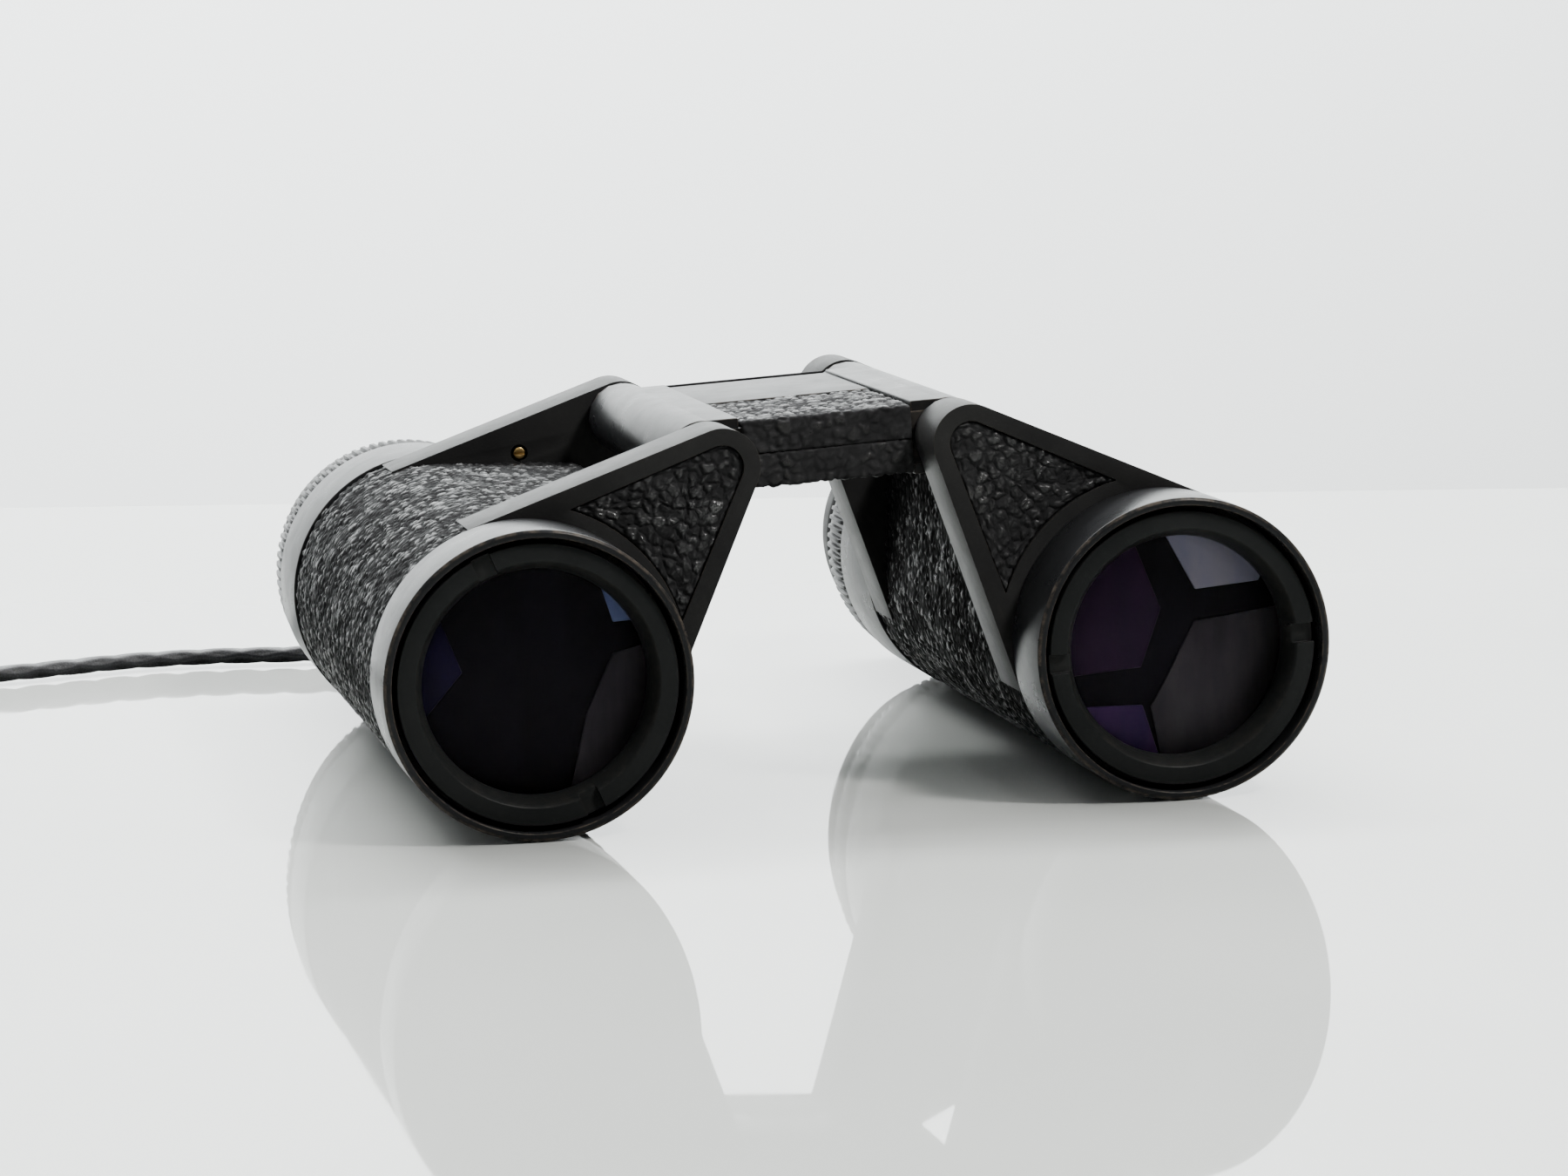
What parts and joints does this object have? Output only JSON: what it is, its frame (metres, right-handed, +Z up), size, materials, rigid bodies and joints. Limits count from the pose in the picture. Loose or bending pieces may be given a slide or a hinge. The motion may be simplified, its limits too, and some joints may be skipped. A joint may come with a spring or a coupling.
{
  "type": "pocket binoculars",
  "caption": "Compact binoculars: two slim leather-covered barrels fold on a double-hinge bridge, with ribbed eyepiece rings and a wrist cord.",
  "frame": {"origin": "centre of the base, on the surface that both barrels lie on, measured without the wrist cord", "axes": "+Y along the barrels from the objectives to the eyepieces, +Z up, +X to the right when seen from the objective end"},
  "size_m": [0.1568, 0.1193, 0.0391],
  "materials": {
    "satin_black": "satin black enamel on die-cast metal, worn to brown at the edges",
    "matte_black": "matt black anodised",
    "leather": "black leatherette with a raised grain",
    "coated_glass": "polished, violet anti-reflection coating",
    "clear_glass": "polished",
    "steel": "turned steel",
    "dark_steel": "blackened steel",
    "brass": "turned brass",
    "rubber": "matt black rubber",
    "cord": "plaited black cord"
  },
  "bodies": {
    "bridge": {"bridge_body": "satin_black", "bridge_leather_upper": "leather", "bridge_leather_lower": "leather", "bridge_rear_leather": "leather", "bridge_top_plate": "satin_black", "bridge_bottom_cover": "satin_black", "bridge_screw_1": "steel", "bridge_screw_2": "steel"},
    "left_barrel": {"left_barrel_body": "satin_black", "left_barrel_leather": "leather", "left_front_arm_leather": "leather", "left_rear_arm_leather": "leather", "left_objective_rim": "satin_black", "left_objective_ring": "matte_black", "left_objective_cell": "matte_black", "left_objective_crown": "coated_glass", "left_objective_flint": "clear_glass", "left_prism_shelf": "matte_black", "left_prism_front": "clear_glass", "left_prism_rear": "clear_glass", "left_field_stop": "matte_black", "left_rear_collar": "satin_black", "left_hinge_pin": "steel", "left_washer_front": "dark_steel", "left_washer_rear": "dark_steel", "left_grub_screw": "brass", "strap_lug": "dark_steel", "strap_loop": "cord", "strap_ferrule": "dark_steel", "strap_cord": "cord", "strap_coil": "cord"},
    "left_focus": {"left_focus_ring": "satin_black"},
    "left_ocular": {"left_ocular_tube": "matte_black", "left_field_lens": "clear_glass", "left_eye_lens": "coated_glass"},
    "left_cup": {"left_eyecup": "rubber"},
    "right_barrel": {"right_barrel_body": "satin_black", "right_barrel_leather": "leather", "right_front_arm_leather": "leather", "right_rear_arm_leather": "leather", "right_objective_rim": "satin_black", "right_objective_ring": "matte_black", "right_objective_cell": "matte_black", "right_objective_crown": "coated_glass", "right_objective_flint": "clear_glass", "right_prism_shelf": "matte_black", "right_prism_front": "clear_glass", "right_prism_rear": "clear_glass", "right_field_stop": "matte_black", "right_rear_collar": "satin_black", "right_hinge_pin": "steel", "right_washer_front": "dark_steel", "right_washer_rear": "dark_steel", "right_grub_screw": "brass"},
    "right_focus": {"right_focus_ring": "satin_black"},
    "right_ocular": {"right_ocular_tube": "matte_black", "right_field_lens": "clear_glass", "right_eye_lens": "coated_glass"},
    "right_cup": {"right_eyecup": "rubber"}
  },
  "joints": [
    {"name": "left_fold", "type": "hinge", "parent": "bridge", "child": "left_barrel", "pos_m": [-0.01191, -0.0109, 0.03396], "axis": [0, -1, 0], "range_deg": [-14.2, 43.6]},
    {"name": "left_focus_turn", "type": "hinge", "parent": "left_barrel", "child": "left_focus", "pos_m": [-0.0321, 0.0367, 0.015], "axis": [0, 1, 0], "range_deg": [-80, 160]},
    {"name": "left_ocular_travel", "type": "slide", "parent": "left_barrel", "child": "left_ocular", "axis": [0, 1, 0], "range_m": [-0.001, 0.002]},
    {"name": "left_cup_slide", "type": "slide", "parent": "left_ocular", "child": "left_cup", "axis": [0, 1, 0], "range_m": [0, 0.004]},
    {"name": "right_fold", "type": "hinge", "parent": "bridge", "child": "right_barrel", "pos_m": [0.01321, -0.0109, 0.03526], "axis": [0, 1, 0], "range_deg": [-24, 33.8]},
    {"name": "right_focus_turn", "type": "hinge", "parent": "right_barrel", "child": "right_focus", "pos_m": [0.0321, 0.0367, 0.015], "axis": [0, 1, 0], "range_deg": [-80, 160]},
    {"name": "right_ocular_travel", "type": "slide", "parent": "right_barrel", "child": "right_ocular", "axis": [0, 1, 0], "range_m": [-0.001, 0.002]},
    {"name": "right_cup_slide", "type": "slide", "parent": "right_ocular", "child": "right_cup", "axis": [0, 1, 0], "range_m": [0, 0.004]}
  ],
  "couplings": [
    {"joint": "left_focus_turn", "follows": "left_ocular_travel", "rad_per_m": 1396.3},
    {"joint": "right_focus_turn", "follows": "right_ocular_travel", "rad_per_m": 1396.3}
  ]
}
